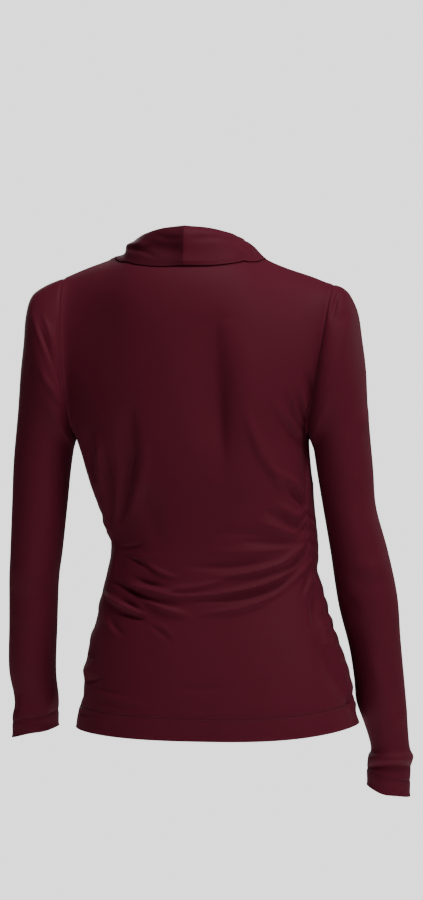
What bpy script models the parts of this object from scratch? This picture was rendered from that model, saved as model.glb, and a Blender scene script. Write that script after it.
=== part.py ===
"""A fitted long-sleeve jersey top with a folded shawl collar and gathered side seams, hollow, as worn.

Metres, +Z up, front towards -Y, and +X is the wearer's left. The origin lies midway between the two high
points of the shoulders, where the top hangs. Every cloth piece is an open sheet with a Solidify wall.
"""

import math

import bmesh
import bpy
import numpy as np

# Cloth and seams
WALL = 0.0012
SEAM_SETBACK = 0.0004
TIP_SETBACK = 0.0009
COLLAR_SEAM_SETBACK = 0.0004
MERGE_DISTANCE = 0.00001
CLOTH_COLOUR = (0.064, 0.0097, 0.0168, 1.0)
CLOTH_ROUGHNESS = 0.62

# Heights of the cut, measured down from the high points of the shoulders
ARMPIT_HEIGHT = -0.232
HEM_HEIGHT = -0.5963
HEM_RISE = {"left": 0.006, "right": 0.013}
HEM_RISE_ROUNDNESS = 3

# Neck and shoulders
NECK_HALF_WIDTH = 0.075
NAPE_DEPTH = 0.055
NAPE_DROP = 0.012
V_DEPTH = 0.190
V_FORWARD = 0.121
V_ROUNDNESS = 2.6
SHOULDER_SLOPE = {"left": 0.395, "right": 0.405}
SHOULDER_DIP = {"left": 0.0010, "right": 0.0060}
DIP_SHIFT = 0.7
NECK_SPREAD = 1.6
YOKE_ROUNDNESS = 3.0
YOKE_BLEND = 3.0
YOKE_LEAN = 1.5
BODY_ROUNDNESS = 2.3
BODY_FLATNESS = 1.4

# Mesh steps
PANEL_COLUMNS = 18
SHOULDER_COLUMNS = 5
GATHER_ROWS = 50
UNDERARM_ROWS = 5
YOKE_ROWS = 11
SLEEVE_RINGS = 30
COLLAR_STEPS = 24
RELAXED_ROWS = 4
RELAX_TIMES = 8
RELAX_FACTOR = 0.5
EDGE = 0.999

# The body of the top in level sections: how far its middle is from X = 0, its half width and its two depths
BODY_COLUMNS = ("height", "centre_x", "half_width", "back_depth", "front_depth")
BODY_SECTIONS = (
    (-0.610, -0.033, 0.1755, 0.110, 0.112),
    (-0.583, -0.032, 0.1735, 0.111, 0.112),
    (-0.558, -0.0335, 0.1680, 0.110, 0.113),
    (-0.533, -0.032, 0.1642, 0.107, 0.113),
    (-0.484, -0.028, 0.1535, 0.098, 0.111),
    (-0.434, -0.0265, 0.1393, 0.086, 0.106),
    (-0.409, -0.0265, 0.1332, 0.080, 0.103),
    (-0.360, -0.0285, 0.1283, 0.074, 0.100),
    (-0.310, -0.0165, 0.1355, 0.078, 0.104),
    (-0.273, -0.0090, 0.1410, 0.085, 0.112),
    (-0.246, -0.0035, 0.1435, 0.090, 0.1175),
    (-0.232, 0.0000, 0.1450, 0.092, 0.1185),
)

# How far behind the middle of the section each side seam lies
SEAM_COLUMNS = ("height", "left", "right")
SIDE_SEAMS = (
    (-0.610, 0.000, 0.000),
    (-0.484, 0.000, 0.002),
    (-0.420, 0.002, 0.006),
    (-0.362, 0.005, 0.026),
    (-0.310, 0.005, 0.022),
    (-0.265, 0.002, 0.010),
    (-0.232, 0.000, 0.000),
)

# Armholes: the shoulder tip, and how deep the hole is behind and before the seam at the side
ARMHOLE_TIP_X = {"left": 0.161, "right": 0.177}
ARMHOLE_DEPTH = {"back": 0.064, "front": 0.060}
ARMHOLE_SPREAD = 0.8
ARMHOLE_BLEND = 0.25
SLEEVE_RADIUS = 0.04

# Each sleeve in rings: the inner and outer edge as seen from behind, the half depth and the middle's depth
SLEEVE_COLUMNS = ("inner_x", "inner_z", "outer_x", "outer_z", "half_depth", "centre_y")
SLEEVE_LEFT = (
    (0.1450, -0.2320, 0.1610, -0.0340, 0.062, 0.000),
    (0.1456, -0.2335, 0.1840, -0.0430, 0.063, 0.000),
    (0.1462, -0.2352, 0.2005, -0.0555, 0.062, 0.000),
    (0.1468, -0.2370, 0.2075, -0.0790, 0.060, 0.000),
    (0.1475, -0.2395, 0.2105, -0.1130, 0.056, 0.000),
    (0.1486, -0.2430, 0.2150, -0.1500, 0.050, -0.001),
    (0.1502, -0.2500, 0.2190, -0.2000, 0.044, -0.002),
    (0.1540, -0.2760, 0.2250, -0.2600, 0.040, -0.004),
    (0.1584, -0.3150, 0.2278, -0.3100, 0.038, -0.007),
    (0.1655, -0.3720, 0.2312, -0.3720, 0.037, -0.012),
    (0.1716, -0.4100, 0.2340, -0.4100, 0.036, -0.018),
    (0.1754, -0.4650, 0.2362, -0.4650, 0.034, -0.027),
    (0.1790, -0.5250, 0.2385, -0.5250, 0.032, -0.036),
    (0.1768, -0.5600, 0.2318, -0.5660, 0.029, -0.042),
    (0.1775, -0.5780, 0.2345, -0.5860, 0.030, -0.045),
    (0.1785, -0.5960, 0.2365, -0.6130, 0.031, -0.048),
)
SLEEVE_RIGHT = (
    (0.1450, -0.2320, 0.1770, -0.0413, 0.062, 0.000),
    (0.1460, -0.2335, 0.1880, -0.0475, 0.063, 0.000),
    (0.1472, -0.2352, 0.1975, -0.0580, 0.062, 0.000),
    (0.1483, -0.2370, 0.2070, -0.0800, 0.060, 0.000),
    (0.1494, -0.2395, 0.2120, -0.1130, 0.056, 0.000),
    (0.1505, -0.2430, 0.2165, -0.1500, 0.050, -0.001),
    (0.1525, -0.2500, 0.2190, -0.2000, 0.044, -0.002),
    (0.1568, -0.2800, 0.2250, -0.2700, 0.040, -0.004),
    (0.1632, -0.3200, 0.2285, -0.3180, 0.039, -0.008),
    (0.1715, -0.3720, 0.2425, -0.3720, 0.040, -0.014),
    (0.1797, -0.4280, 0.2538, -0.4280, 0.040, -0.020),
    (0.1930, -0.4840, 0.2575, -0.4840, 0.037, -0.028),
    (0.2033, -0.5580, 0.2633, -0.5580, 0.033, -0.040),
    (0.2185, -0.6140, 0.2670, -0.6140, 0.028, -0.047),
    (0.2155, -0.6290, 0.2718, -0.6290, 0.032, -0.048),
    (0.2140, -0.6440, 0.2688, -0.6440, 0.029, -0.049),
    (0.2145, -0.6640, 0.2670, -0.6790, 0.029, -0.051),
)

# The collar from the centre back to the foot of the V. Each row is sewn to a panel's neck edge at one place.
# Its free edge lies this far out and below the shoulder line, and its roll stands off from the sewn foot.
COLLAR_COLUMNS = ("foot_across", "edge_x", "edge_drop", "roll_up", "roll_forward", "roll_in")
COLLAR_BACK = (
    (0.000, 0.000, 0.0220, 0.0352, 0.000, -0.001),
    (0.111, 0.033, 0.0216, 0.0318, 0.000, 0.001),
    (0.222, 0.061, 0.0190, 0.0243, 0.000, 0.004),
    (0.333, 0.079, 0.0125, 0.0166, 0.000, 0.009),
    (0.400, 0.088, 0.0050, 0.0128, 0.000, 0.010),
    (0.444, 0.092, 0.0000, 0.0105, 0.000, 0.011),
)
COLLAR_FRONT = (
    (0.444, 0.092, 0.0000, 0.0105, 0.000, 0.011),
    (0.390, 0.097, 0.0080, 0.0100, 0.004, 0.008),
    (0.333, 0.100, 0.0220, 0.0075, 0.010, 0.005),
    (0.260, 0.098, 0.0550, 0.0040, 0.012, 0.003),
    (0.180, 0.081, 0.0970, 0.0020, 0.013, 0.002),
    (0.100, 0.055, 0.1387, 0.0000, 0.013, 0.001),
    (0.050, 0.031, 0.1660, 0.0000, 0.012, 0.001),
    (0.018, 0.0110, 0.1820, 0.0000, 0.011, 0.000),
)
COLLAR_FOOT_IN = 0.0022
COLLAR_ROLL = 0.0030
COLLAR_ROLL_HEIGHT = 0.0024
COLLAR_LEAF = ((0.35, 0.0065), (0.70, 0.0045), (1.00, 0.0026))

# The gathers along both side seams, and the long soft folds that cross the back and the front at the waist
GATHER_TOP = -0.315
GATHER_BOTTOM = -0.575
GATHER_COUNT = 13
GATHER_HEIGHT = 0.0022
GATHER_REACH = 0.045
GATHER_FALL = 0.35
GATHER_FADE = 0.030
GATHER_UNEVENNESS = ((2.7, 0.25), (1.3, 0.15))
FOLD_COLUMNS = ("x_start", "z_start", "x_middle", "z_middle", "x_end", "z_end", "width", "height")
BACK_FOLDS = (
    (-0.135, -0.362, -0.070, -0.369, -0.025, -0.360, 0.009, 0.0020),
    (-0.135, -0.376, -0.060, -0.402, 0.015, -0.392, 0.010, 0.0028),
    (-0.130, -0.386, -0.020, -0.418, 0.080, -0.404, 0.010, 0.0030),
    (-0.128, -0.400, -0.030, -0.436, 0.082, -0.410, 0.011, 0.0028),
    (-0.125, -0.418, -0.045, -0.445, 0.000, -0.440, 0.011, 0.0022),
    (0.100, -0.424, 0.075, -0.446, 0.045, -0.458, 0.011, 0.0028),
    (0.064, -0.195, 0.070, -0.260, 0.088, -0.325, 0.018, 0.0030),
    (-0.040, -0.100, -0.046, -0.200, -0.055, -0.270, 0.020, -0.0035),
    (-0.062, -0.200, -0.090, -0.262, -0.138, -0.312, 0.013, 0.0026),
    (-0.098, -0.296, -0.118, -0.316, -0.136, -0.332, 0.009, 0.0020),
)
FRONT_FOLDS = (
    (-0.135, -0.352, -0.060, -0.366, -0.010, -0.362, 0.010, 0.0022),
    (-0.130, -0.378, -0.030, -0.404, 0.070, -0.396, 0.011, 0.0028),
    (0.100, -0.366, 0.050, -0.392, -0.010, -0.398, 0.010, 0.0022),
    (-0.125, -0.412, -0.030, -0.440, 0.070, -0.424, 0.011, 0.0028),
    (0.095, -0.430, 0.050, -0.456, -0.020, -0.460, 0.011, 0.0024),
    (-0.110, -0.205, -0.098, -0.262, -0.108, -0.320, 0.016, 0.0024),
    (0.108, -0.205, 0.094, -0.262, 0.092, -0.320, 0.016, 0.0024),
)
SLEEVE_FOLD_COLUMNS = ("height", "turn", "slant", "spread", "width", "lift")
LEFT_SLEEVE_FOLDS = (
    (-0.150, 110.0, 0.30, 60.0, 0.018, 0.0026),
    (-0.395, 30.0, 0.20, 70.0, 0.016, 0.0022),
    (-0.440, 300.0, -0.20, 60.0, 0.016, 0.0020),
)
RIGHT_SLEEVE_FOLDS = (
    (-0.150, 110.0, -0.30, 60.0, 0.018, 0.0026),
    (-0.380, 40.0, 0.22, 70.0, 0.016, 0.0024),
    (-0.420, 300.0, -0.20, 60.0, 0.016, 0.0020),
)
CURVE_STEPS = 16
FOLD_END = 0.06
FOLD_FACING = 0.4
SEARCH_STEPS = 24
NORMAL_STEP = 0.01
LEAST_X = 0.0005


def column(columns, rows, name):
    """One named column of a table, as an array."""
    return np.array([row[columns.index(name)] for row in rows])


def smooth(knots, values, at):
    """The value at a place on the smooth curve through a table's knots, which rise."""
    knots = np.asarray(knots, float)
    values = np.asarray(values, float)
    at = float(np.clip(at, knots[0], knots[-1]))
    i = int(np.clip(np.searchsorted(knots, at) - 1, 0, len(knots) - 2))
    slopes = np.gradient(values, knots)
    step = knots[i + 1] - knots[i]
    t = (at - knots[i]) / step
    return float(
        values[i] * (1 + 2 * t) * (1 - t) ** 2
        + slopes[i] * step * t * (1 - t) ** 2
        + values[i + 1] * t * t * (3 - 2 * t)
        - slopes[i + 1] * step * t * t * (1 - t)
    )


def at_height(columns, rows, name, height):
    """The value of a named column at a height, in a table whose rows are heights."""
    return smooth(column(columns, rows, "height"), column(columns, rows, name), height)


def body_size(name, height):
    return at_height(BODY_COLUMNS, BODY_SECTIONS, name, height)


def seam_depth(side, height):
    return at_height(SEAM_COLUMNS, SIDE_SEAMS, side, height)


def rounded(value, roundness):
    """A sine or cosine bent from an ellipse towards a box."""
    return math.copysign(abs(value) ** (2 / roundness), value)


def arc_over(share, roundness):
    """How much depth is left at this share of the way up, on a curve from upright over to level."""
    return max(0.0, 1 - share**roundness) ** (1 / roundness)


def hem_rise(across_x):
    """The gathers draw the hem up towards the side seams, most on the wearer's right."""
    return HEM_RISE["left" if across_x > 0 else "right"] * abs(across_x) ** HEM_RISE_ROUNDNESS


def fold_lift(folds, x, z):
    """How far the folds raise the cloth at a place seen from behind or before, with ends that fade out."""
    lift = 0.0
    for row in folds:
        fold = dict(zip(FOLD_COLUMNS, row))
        start = np.array((fold["x_start"], fold["z_start"]))
        middle = np.array((fold["x_middle"], fold["z_middle"]))
        end = np.array((fold["x_end"], fold["z_end"]))
        along = np.linspace(0, 1, CURVE_STEPS)[:, None]
        handle = 2 * middle - (start + end) / 2
        line = start * (1 - along) ** 2 + 2 * handle * along * (1 - along) + end * along**2
        away = np.linalg.norm(line - (x, z), axis=1)
        nearest = int(away.argmin())
        fade = math.sqrt(math.sin(math.pi * min(max(along[nearest, 0], FOLD_END), 1 - FOLD_END)))
        lift += fold["height"] * fade * math.exp(-((away[nearest] / fold["width"]) ** 2))
    return lift


def gather_lift(z, from_seam):
    """The waves that run in from a side seam, falling a little towards the middle and dying out."""
    inside = min(z - GATHER_BOTTOM, GATHER_TOP - z)
    ends = np.clip(inside / GATHER_FADE + 0.5, 0, 1)
    fallen = z + GATHER_FALL * from_seam
    pitch = (GATHER_TOP - GATHER_BOTTOM) / GATHER_COUNT
    uneven = sum(size * math.sin(fallen / (length * pitch)) for length, size in GATHER_UNEVENNESS)
    wave = math.sin(2 * math.pi * (fallen / pitch + uneven))
    return GATHER_HEIGHT * ends * wave * math.exp(-((from_seam / GATHER_REACH) ** 2))


def outward(sideways, backward):
    """The level direction out of the body at a place on its section."""
    direction = np.array((sideways / BODY_FLATNESS, backward, 0.0))
    return direction / np.linalg.norm(direction)


def body_point(side, across, height):
    """A point below the armpits. across runs from -1 to 1, counter-clockwise as seen from above."""
    centre = body_size("centre_x", height)
    half_width = body_size("half_width", height)
    depth = body_size(side + "_depth", height)
    left = math.asin(seam_depth("left", height) / depth)
    right = math.asin(seam_depth("right", height) / depth)
    first, last = (left, math.pi - right) if side == "back" else (math.pi - right, 2 * math.pi + left)
    angle = first + (last - first) * (across + 1) / 2
    front_seam = side == "front" and math.sin(angle) > 0
    if front_seam:
        depth = body_size("back_depth", height)
    x = half_width * rounded(math.cos(angle), BODY_ROUNDNESS)
    y = depth * rounded(math.sin(angle), BODY_ROUNDNESS)
    from_seam = (1 - abs(across)) * 0.5 * math.pi * (half_width + depth) / 2
    folds = BACK_FOLDS if side == "back" else FRONT_FOLDS
    facing = min(1.0, abs(y) / (FOLD_FACING * depth))
    lift = gather_lift(height, from_seam) + facing * fold_lift(folds, centre + x, height)
    return np.array((centre + x, y, height)) + outward(x / half_width, y / depth) * lift


def shoulder_height(name, x):
    """The shoulder line falls from the neck to the tip, with a dip near the neck."""
    outside = max(0.0, x - NECK_HALF_WIDTH)
    share = outside / (ARMHOLE_TIP_X[name] - NECK_HALF_WIDTH)
    return -SHOULDER_SLOPE[name] * outside - SHOULDER_DIP[name] * math.sin(math.pi * share**DIP_SHIFT)


def top_edge(side, across):
    """Where a panel's column ends: on the shoulder seam or, between the high points, on the neck edge."""
    hand = 1 if (across < 0) == (side == "back") else -1
    name = "left" if hand > 0 else "right"
    tip = ARMHOLE_TIP_X[name]
    steps = (1 - abs(across)) * PANEL_COLUMNS / 2
    if steps <= SHOULDER_COLUMNS:
        x = tip + (NECK_HALF_WIDTH - tip) * steps / SHOULDER_COLUMNS
        return np.array((hand * x, 0.0, shoulder_height(name, x)))
    along = (steps - SHOULDER_COLUMNS) / (PANEL_COLUMNS / 2 - SHOULDER_COLUMNS)
    if side == "back":
        turn = along * math.pi / 2
        x = NECK_HALF_WIDTH * math.cos(turn)
        return np.array((hand * x, NAPE_DEPTH * math.sin(turn), -NAPE_DROP * math.sin(turn)))
    along **= NECK_SPREAD
    x = NECK_HALF_WIDTH * (1 - along)
    return np.array((hand * x, -V_FORWARD * arc_over(1 - along, V_ROUNDNESS), -V_DEPTH * along))


def armhole_x(hand_name, share):
    at_armpit = body_size("half_width", ARMPIT_HEIGHT)
    return at_armpit + (ARMHOLE_TIP_X[hand_name] - at_armpit) * share**ARMHOLE_SPREAD


def yoke_point(side, across, share):
    """A point above the armpits. share runs from 0 there to 1 on the shoulder seam or the neck edge."""
    sign = 1 if side == "back" else -1
    angle = math.pi * (across + 1) / 2
    facing = rounded(math.sin(angle), BODY_ROUNDNESS)
    sideways = rounded(math.cos(angle), BODY_ROUNDNESS) * sign
    hand_name = "left" if sideways > 0 else "right"
    top = top_edge(side, across)
    depth = body_size(side + "_depth", ARMPIT_HEIGHT)
    over = arc_over(share, YOKE_ROUNDNESS)
    lean = share**YOKE_LEAN
    x = armhole_x(hand_name, share) * (sideways * (1 - lean) + top[0] / ARMHOLE_TIP_X[hand_name] * lean)
    rise = 1 - top[2] / ARMPIT_HEIGHT
    hole = ARMHOLE_DEPTH[side] * 2 * math.sqrt(max(0.0, share * (1 - share))) * rise
    bulge = (hole**YOKE_BLEND + (facing * depth * over) ** YOKE_BLEND) ** (1 / YOKE_BLEND)
    z = ARMPIT_HEIGHT + (top[2] - ARMPIT_HEIGHT) * share
    point = np.array((x, sign * bulge + top[1] * (1 - over), z))
    if abs(across) < EDGE:
        folds = BACK_FOLDS if side == "back" else FRONT_FOLDS
        squarely = min(1.0, facing / FOLD_FACING) * over
        point += outward(sideways, sign * facing) * squarely * fold_lift(folds, x, point[2])
    return point


def yoke_share(row):
    return (1 - math.cos(math.pi * row / YOKE_ROWS)) / 2


def panel_point(side, across, row):
    """A point of a panel by its row, counted up from the hem."""
    gather_top = GATHER_TOP + GATHER_FADE / 2
    if row <= GATHER_ROWS:
        height = HEM_HEIGHT + (gather_top - HEM_HEIGHT) * row / GATHER_ROWS
        point = body_point(side, across, height)
        sideways = (point[0] - body_size("centre_x", height)) / body_size("half_width", height)
        point[2] += hem_rise(sideways) * (1 - row / GATHER_ROWS)
    elif row <= GATHER_ROWS + UNDERARM_ROWS:
        share = (row - GATHER_ROWS) / UNDERARM_ROWS
        point = body_point(side, across, gather_top + (ARMPIT_HEIGHT - gather_top) * share)
    else:
        point = yoke_point(side, across, yoke_share(row - GATHER_ROWS - UNDERARM_ROWS))
    return point


def seamed_panel_point(side, across, row):
    """The same point, with a panel's edges drawn back from the seams."""
    point = panel_point(side, across, row)
    sign = 1 if side == "back" else -1
    last = GATHER_ROWS + UNDERARM_ROWS + YOKE_ROWS
    on_yoke = row > GATHER_ROWS + UNDERARM_ROWS
    if abs(across) > EDGE and not on_yoke:
        point[1] += sign * SEAM_SETBACK
    if abs(across) > EDGE:
        point[0] -= math.copysign(SEAM_SETBACK, point[0])
    to_tip = 1 - (1 - abs(across)) * PANEL_COLUMNS / 2 / SHOULDER_COLUMNS
    if row == last and to_tip > -LEAST_X:
        point[1] += sign * (SEAM_SETBACK + (TIP_SETBACK - SEAM_SETBACK) * to_tip)
    return point


def sleeve_ring(rows, along, step, steps):
    """A point of a sleeve by its share of the way down and its step round from the armpit by the back."""
    stations = np.arange(len(rows))
    at = along * (len(rows) - 1)
    size = {name: smooth(stations, column(SLEEVE_COLUMNS, rows, name), at) for name in SLEEVE_COLUMNS}
    turn = 2 * math.pi * step / steps
    inner = np.array((size["inner_x"], 0.0, size["inner_z"]))
    outer = np.array((size["outer_x"], 0.0, size["outer_z"]))
    centre = (inner + outer) / 2 + (0.0, size["centre_y"], 0.0)
    point = centre - (outer - inner) / 2 * math.cos(turn) + (0.0, size["half_depth"] * math.sin(turn), 0.0)
    return point, centre


def armhole_point(side, turn):
    """A place on the edge that the panels leave for a sleeve, turned from the armpit round by the back."""
    share = (1 - math.cos(turn)) / 2
    tip_height = shoulder_height(side, ARMHOLE_TIP_X[side])
    depth = ARMHOLE_DEPTH["back" if turn <= math.pi else "front"] * (1 - tip_height / ARMPIT_HEIGHT)
    z = ARMPIT_HEIGHT + (tip_height - ARMPIT_HEIGHT) * share
    return np.array((armhole_x(side, share), depth * math.sin(turn), z))


def sleeve_point(side, rows, folds, along, step, steps):
    point, centre = sleeve_ring(rows, along, step, steps)
    turn = 2 * math.pi * step / steps
    first, _ = sleeve_ring(rows, 0.0, step, steps)
    near = max(0.0, 1 - along / ARMHOLE_BLEND) ** 2
    point += (armhole_point(side, turn) - first) * near
    degrees = math.degrees(turn)
    lift = 0.0
    for row in folds:
        fold = dict(zip(SLEEVE_FOLD_COLUMNS, row))
        around = (degrees - fold["turn"] + 180) % 360 - 180
        line = fold["height"] + fold["slant"] * math.radians(around) * SLEEVE_RADIUS
        fade = max(0.0, 1 - (around / fold["spread"]) ** 2)
        lift += fold["lift"] * fade * math.exp(-(((point[2] - line) / fold["width"]) ** 2))
    away = (point - centre) * (1, 1, 0)
    point += away / np.linalg.norm(away) * lift * (1 - near)
    if along == 0:
        point[0] += SEAM_SETBACK
    if side == "right":
        point[0] = -point[0]
    return point


def yoke_at(side, x, z):
    """The place across and up a panel's yoke that is seen at x and z from behind or before."""
    hand = math.copysign(1, x)
    low, high = 0.0, 1.0
    for _ in range(SEARCH_STEPS):
        middle = (low + high) / 2
        across = -hand * middle if side == "back" else hand * middle
        share = min(1.0, (z - ARMPIT_HEIGHT) / (top_edge(side, across)[2] - ARMPIT_HEIGHT))
        if abs(yoke_point(side, across, share)[0]) < abs(x):
            low = middle
        else:
            high = middle
    return across, share


def yoke_normal(side, across, share):
    """The direction out of the cloth at a place on a panel's yoke."""
    step = NORMAL_STEP
    here = yoke_point(side, across, share - step)
    up = yoke_point(side, across, share) - here
    sideways = yoke_point(side, across + step, share - step) - here
    normal = np.cross(sideways, up)
    return normal / np.linalg.norm(normal)


def neck_edge(side, across):
    """A place on a panel's neck edge, on the straight run between two of its columns."""
    column_width = 2 / PANEL_COLUMNS
    first = math.floor(across / column_width) * column_width
    share = (across - first) / column_width
    return top_edge(side, first) * (1 - share) + top_edge(side, first + column_width) * share


def collar_profile(hand, side, rows, at):
    """The points of the folded collar at one place along it, from its sewn foot to its free edge."""
    stations = np.arange(len(rows))
    place = {name: smooth(stations, column(COLLAR_COLUMNS, rows, name), at) for name in COLLAR_COLUMNS}
    turn = -hand if side == "back" else hand
    foot_across = float(np.interp(at, stations, column(COLLAR_COLUMNS, rows, "foot_across")))
    sewn = neck_edge(side, turn * foot_across)
    leaf = []
    for way, height in COLLAR_LEAF:
        x = max(abs(sewn[0]) * (1 - way) + place["edge_x"] * way, LEAST_X)
        drop = -sewn[2] * (1 - way) + place["edge_drop"] * way
        line = shoulder_height("left" if hand > 0 else "right", x)
        across, share = yoke_at(side, hand * x, line - drop)
        leaf.append(yoke_point(side, across, share) + yoke_normal(side, across, share) * height)
    out = (leaf[-1] - sewn) * (1, 1, 0)
    out /= np.linalg.norm(out)
    roll = sewn + (0.0, -place["roll_forward"], place["roll_up"]) - out * place["roll_in"]
    profile = np.array(
        [
            sewn - out * COLLAR_FOOT_IN - (0, 0, WALL / 2),
            (sewn + roll) / 2 - out * COLLAR_ROLL,
            roll - out * COLLAR_ROLL,
            roll + (0.0, 0.0, COLLAR_ROLL_HEIGHT),
            roll + out * COLLAR_ROLL,
            *leaf,
        ]
    )
    profile[:, 0] = hand * np.maximum(hand * profile[:, 0], COLLAR_SEAM_SETBACK)
    return profile


def collar_place(hand, along):
    """The profile at a share of the way from the centre back to the foot of the V."""
    back, front = len(COLLAR_BACK) - 1, len(COLLAR_FRONT) - 1
    at = along * (back + front)
    if at <= back:
        return collar_profile(hand, "back", COLLAR_BACK, at)
    return collar_profile(hand, "front", COLLAR_FRONT, at - back)


def cloth_material(name):
    material = bpy.data.materials.new(name)
    material.use_nodes = True
    shader = material.node_tree.nodes["Principled BSDF"]
    shader.inputs["Base Color"].default_value = CLOTH_COLOUR
    shader.inputs["Roughness"].default_value = CLOTH_ROUGHNESS
    shader.inputs["Metallic"].default_value = 0.0
    return material


def sheet_object(name, columns, rows, place, collection, is_tube=False, relaxed=(), even=True):
    """A grid with each vertex put in its place by column and row, given a wall on its inner side.

    The inner vertices of the rows in relaxed are smoothed, so that two forms meet there with no crease.
    """
    mesh = bpy.data.meshes.new(name)
    sheet = bmesh.new()
    bmesh.ops.create_grid(sheet, x_segments=columns, y_segments=rows, size=1.0)
    soft = []
    for vertex in sheet.verts:
        step = round((vertex.co.x + 1) / 2 * columns)
        row = round((vertex.co.y + 1) / 2 * rows)
        vertex.co = place(step, row)
        if row in relaxed and not vertex.is_boundary:
            soft.append(vertex)
    for _ in range(RELAX_TIMES):
        bmesh.ops.smooth_vert(
            sheet, verts=soft, factor=RELAX_FACTOR, use_axis_x=True, use_axis_y=True, use_axis_z=True
        )
    if is_tube:
        bmesh.ops.remove_doubles(sheet, verts=sheet.verts, dist=MERGE_DISTANCE)
    sheet.to_mesh(mesh)
    sheet.free()
    mesh.shade_smooth()
    obj = bpy.data.objects.new(name, mesh)
    obj.data.materials.append(cloth_material(name + "_jersey"))
    collection.objects.link(obj)
    wall = obj.modifiers.new("wall", "SOLIDIFY")
    wall.thickness = WALL
    wall.offset = -1
    wall.use_even_offset = even


def build_panel(side, collection):
    armpit_row = GATHER_ROWS + UNDERARM_ROWS

    def place(step, row):
        return seamed_panel_point(side, 2 * step / PANEL_COLUMNS - 1, row)

    relaxed = range(armpit_row - RELAXED_ROWS + 1, armpit_row + RELAXED_ROWS)
    sheet_object(side, PANEL_COLUMNS, armpit_row + YOKE_ROWS, place, collection, relaxed=relaxed)


def build_sleeve(side, rows, folds, collection):
    steps = 2 * YOKE_ROWS

    def place(step, row):
        turned = step if side == "right" else steps - step
        return sleeve_point(side, rows, folds, 1 - row / SLEEVE_RINGS, turned, steps)

    sheet_object("sleeve_" + side, steps, SLEEVE_RINGS, place, collection, is_tube=True)


def build_collar(side, collection):
    hand = 1 if side == "left" else -1
    profiles = [collar_place(hand, step / COLLAR_STEPS) for step in range(COLLAR_STEPS + 1)]
    if hand > 0:
        profiles.reverse()
    across = len(profiles[0]) - 1

    def place(step, row):
        return profiles[step][across - row]

    sheet_object("collar_" + side, COLLAR_STEPS, across, place, collection, even=False)


def main():
    for obj in list(bpy.data.objects):
        bpy.data.objects.remove(obj, do_unlink=True)
    collection = bpy.data.collections.new("long_sleeve_top")
    bpy.context.scene.collection.children.link(collection)
    build_panel("back", collection)
    build_panel("front", collection)
    build_sleeve("left", SLEEVE_LEFT, LEFT_SLEEVE_FOLDS, collection)
    build_sleeve("right", SLEEVE_RIGHT, RIGHT_SLEEVE_FOLDS, collection)
    build_collar("left", collection)
    build_collar("right", collection)


main()
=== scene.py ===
"""The looks of a fitted long-sleeve jersey top with a folded shawl collar, hollow as it is worn.

Metres, +Z up, front towards -Y, +X on the wearer's left, origin between the high points of the shoulders.
The tables inside metres() are written in millimetres.
"""

import math

import bpy
import numpy as np
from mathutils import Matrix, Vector
from mathutils.bvhtree import BVHTree


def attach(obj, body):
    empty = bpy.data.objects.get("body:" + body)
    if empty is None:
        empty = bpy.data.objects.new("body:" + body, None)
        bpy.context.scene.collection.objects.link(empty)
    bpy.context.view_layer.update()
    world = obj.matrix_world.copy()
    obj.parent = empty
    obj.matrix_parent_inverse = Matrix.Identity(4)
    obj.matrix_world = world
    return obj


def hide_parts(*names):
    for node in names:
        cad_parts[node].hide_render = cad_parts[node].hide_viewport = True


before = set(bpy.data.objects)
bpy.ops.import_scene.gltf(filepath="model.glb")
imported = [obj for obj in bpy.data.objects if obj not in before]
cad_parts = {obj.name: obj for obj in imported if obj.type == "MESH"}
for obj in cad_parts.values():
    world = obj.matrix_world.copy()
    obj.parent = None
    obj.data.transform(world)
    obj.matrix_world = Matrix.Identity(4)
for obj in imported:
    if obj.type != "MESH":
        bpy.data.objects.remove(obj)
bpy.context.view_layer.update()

# ---- Camera and studio -------------------------------------------------------------------------------
# The top is seen level from behind, turned 8 degrees. The camera comes first, because the creases of the
# back and the sleeves are placed as they are seen from it.
TURN = math.radians(188)
DISTANCE = 3.0
PIXEL = 0.00124
IMAGE_HIGH = 900
ORIGIN_LEFT_OF_MIDDLE = 0.0248
MIDDLE_BELOW_ORIGIN = 0.248

to_right = np.array((math.cos(TURN), math.sin(TURN), 0.0))
to_front = np.array((-math.sin(TURN), math.cos(TURN), 0.0))
aim = to_right * ORIGIN_LEFT_OF_MIDDLE - np.array((0.0, 0.0, MIDDLE_BELOW_ORIGIN))
eye = aim - to_front * DISTANCE


def set_up(name, data, place, rotation):
    """A camera or a lamp at its place."""
    stand = bpy.data.objects.new(name, data)
    stand.location = place
    stand.rotation_euler = rotation
    bpy.context.scene.collection.objects.link(stand)
    return stand


lens = bpy.data.cameras.new("photo_camera")
lens.sensor_fit = "VERTICAL"
lens.angle = 2 * math.atan(IMAGE_HIGH * PIXEL / 2 / DISTANCE)
bpy.context.scene.camera = set_up("photo_camera", lens, Vector(eye), (math.pi / 2, 0.0, TURN))

FLOOR_HEIGHT = -1.40
FLOOR_RADIUS = 2.4
BACKDROP = (1.92, 1.92, 1.92, 1.0)
AMBIENT = (0.08, 0.08, 0.083, 1.0)


def set_inputs(node, values):
    """Values for a node's inputs, by their names."""
    for name, value in values.items():
        node.inputs[name].default_value = value


def new_finish(name, surface):
    """A material with these values of its surface, its node tree and its shader."""
    finish = bpy.data.materials.new(name)
    finish.use_nodes = True
    shader = finish.node_tree.nodes["Principled BSDF"]
    set_inputs(shader, surface)
    return finish, finish.node_tree, shader


def new_shape(name, add, **settings):
    """An object of a basic shape."""
    bpy.ops.object.select_all(action="DESELECT")
    add(**settings)
    shape = bpy.context.object
    shape.name = name
    shape.data.name = name
    return shape


disc = {"vertices": 96, "radius": FLOOR_RADIUS, "fill_type": "NGON", "location": (0.0, 0.0, FLOOR_HEIGHT)}
floor = new_shape("studio_floor", bpy.ops.mesh.primitive_circle_add, **disc)
floor.data.materials.append(new_finish("studio_floor", {"Base Color": BACKDROP, "Roughness": 0.9})[0])

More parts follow.
